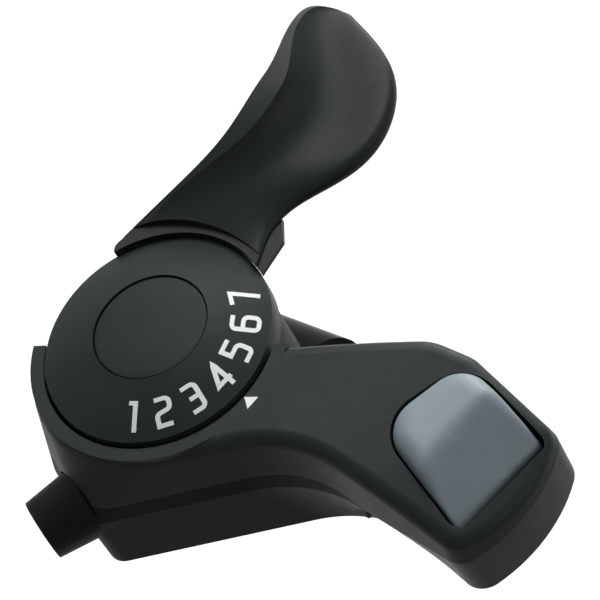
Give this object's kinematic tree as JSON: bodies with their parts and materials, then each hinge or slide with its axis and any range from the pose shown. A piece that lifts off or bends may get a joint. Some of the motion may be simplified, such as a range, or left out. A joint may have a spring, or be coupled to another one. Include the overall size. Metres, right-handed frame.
{
  "type": "thumb gear shifter",
  "caption": "Handlebar thumb shifter: a scoop-shaped lever turns a numbered dial and cable drum, a wedge button releases it, and a bolted band clamps the moulded body on the bar.",
  "frame": {"origin": "on the handlebar's axis, in the middle of the clamp band's width", "axes": "+X along the bar towards the grip, +Y towards the lever side, +Z along the dial's axis, away from the bar"},
  "size_m": [0.081, 0.0885, 0.057],
  "materials": {
    "cover_plastic": "satin black moulding with a fine texture",
    "case_plastic": "darker satin black moulding",
    "lever_plastic": "satin black moulding, smooth thumb face",
    "dial_plastic": "satin black moulding with white numbers",
    "button_plastic": "satin blue-grey moulding",
    "band_paint": "black coated steel band",
    "bolt_steel": "black oxide screw",
    "plated_steel": "zinc plated steel",
    "bush_brass": "plain brass bush",
    "drum_plastic": "grey moulding",
    "spring_steel": "bright spring steel"
  },
  "bodies": {
    "housing": {"upper_cover": "cover_plastic", "lower_case": "case_plastic", "clamp_band": "band_paint", "clamp_bolt": "bolt_steel", "clamp_nut": "plated_steel", "pivot_shaft": "plated_steel", "thrust_washer": "plated_steel", "shaft_washer": "plated_steel", "shaft_nut": "plated_steel", "rocker_pin": "plated_steel", "button_spring": "spring_steel", "detent_spring": "spring_steel", "detent_screw": "plated_steel", "cover_screws": "plated_steel"},
    "lever": {"thumb_lever": "lever_plastic", "indicator_dial": "dial_plastic", "dial_cap": "dial_plastic", "cable_drum": "drum_plastic", "index_plate": "plated_steel", "hub_bush": "bush_brass"},
    "release": {"release_button": "button_plastic", "release_rocker": "plated_steel"}
  },
  "joints": [
    {"name": "lever_turn", "type": "hinge", "parent": "housing", "child": "lever", "pos_m": [0, -0.0106, 0.03], "axis": [0, 0, 1], "range_deg": [-57, 57], "deforming": ["detent_spring"]},
    {"name": "release_press", "type": "hinge", "parent": "housing", "child": "release", "pos_m": [0.031, -0.0106, 0.0189], "axis": [0, 1, 0], "range_deg": [0, 8], "stiffness_Nm_per_rad": 0.6, "springref_deg": -5.73, "deforming": ["detent_spring", "button_spring"]}
  ]
}
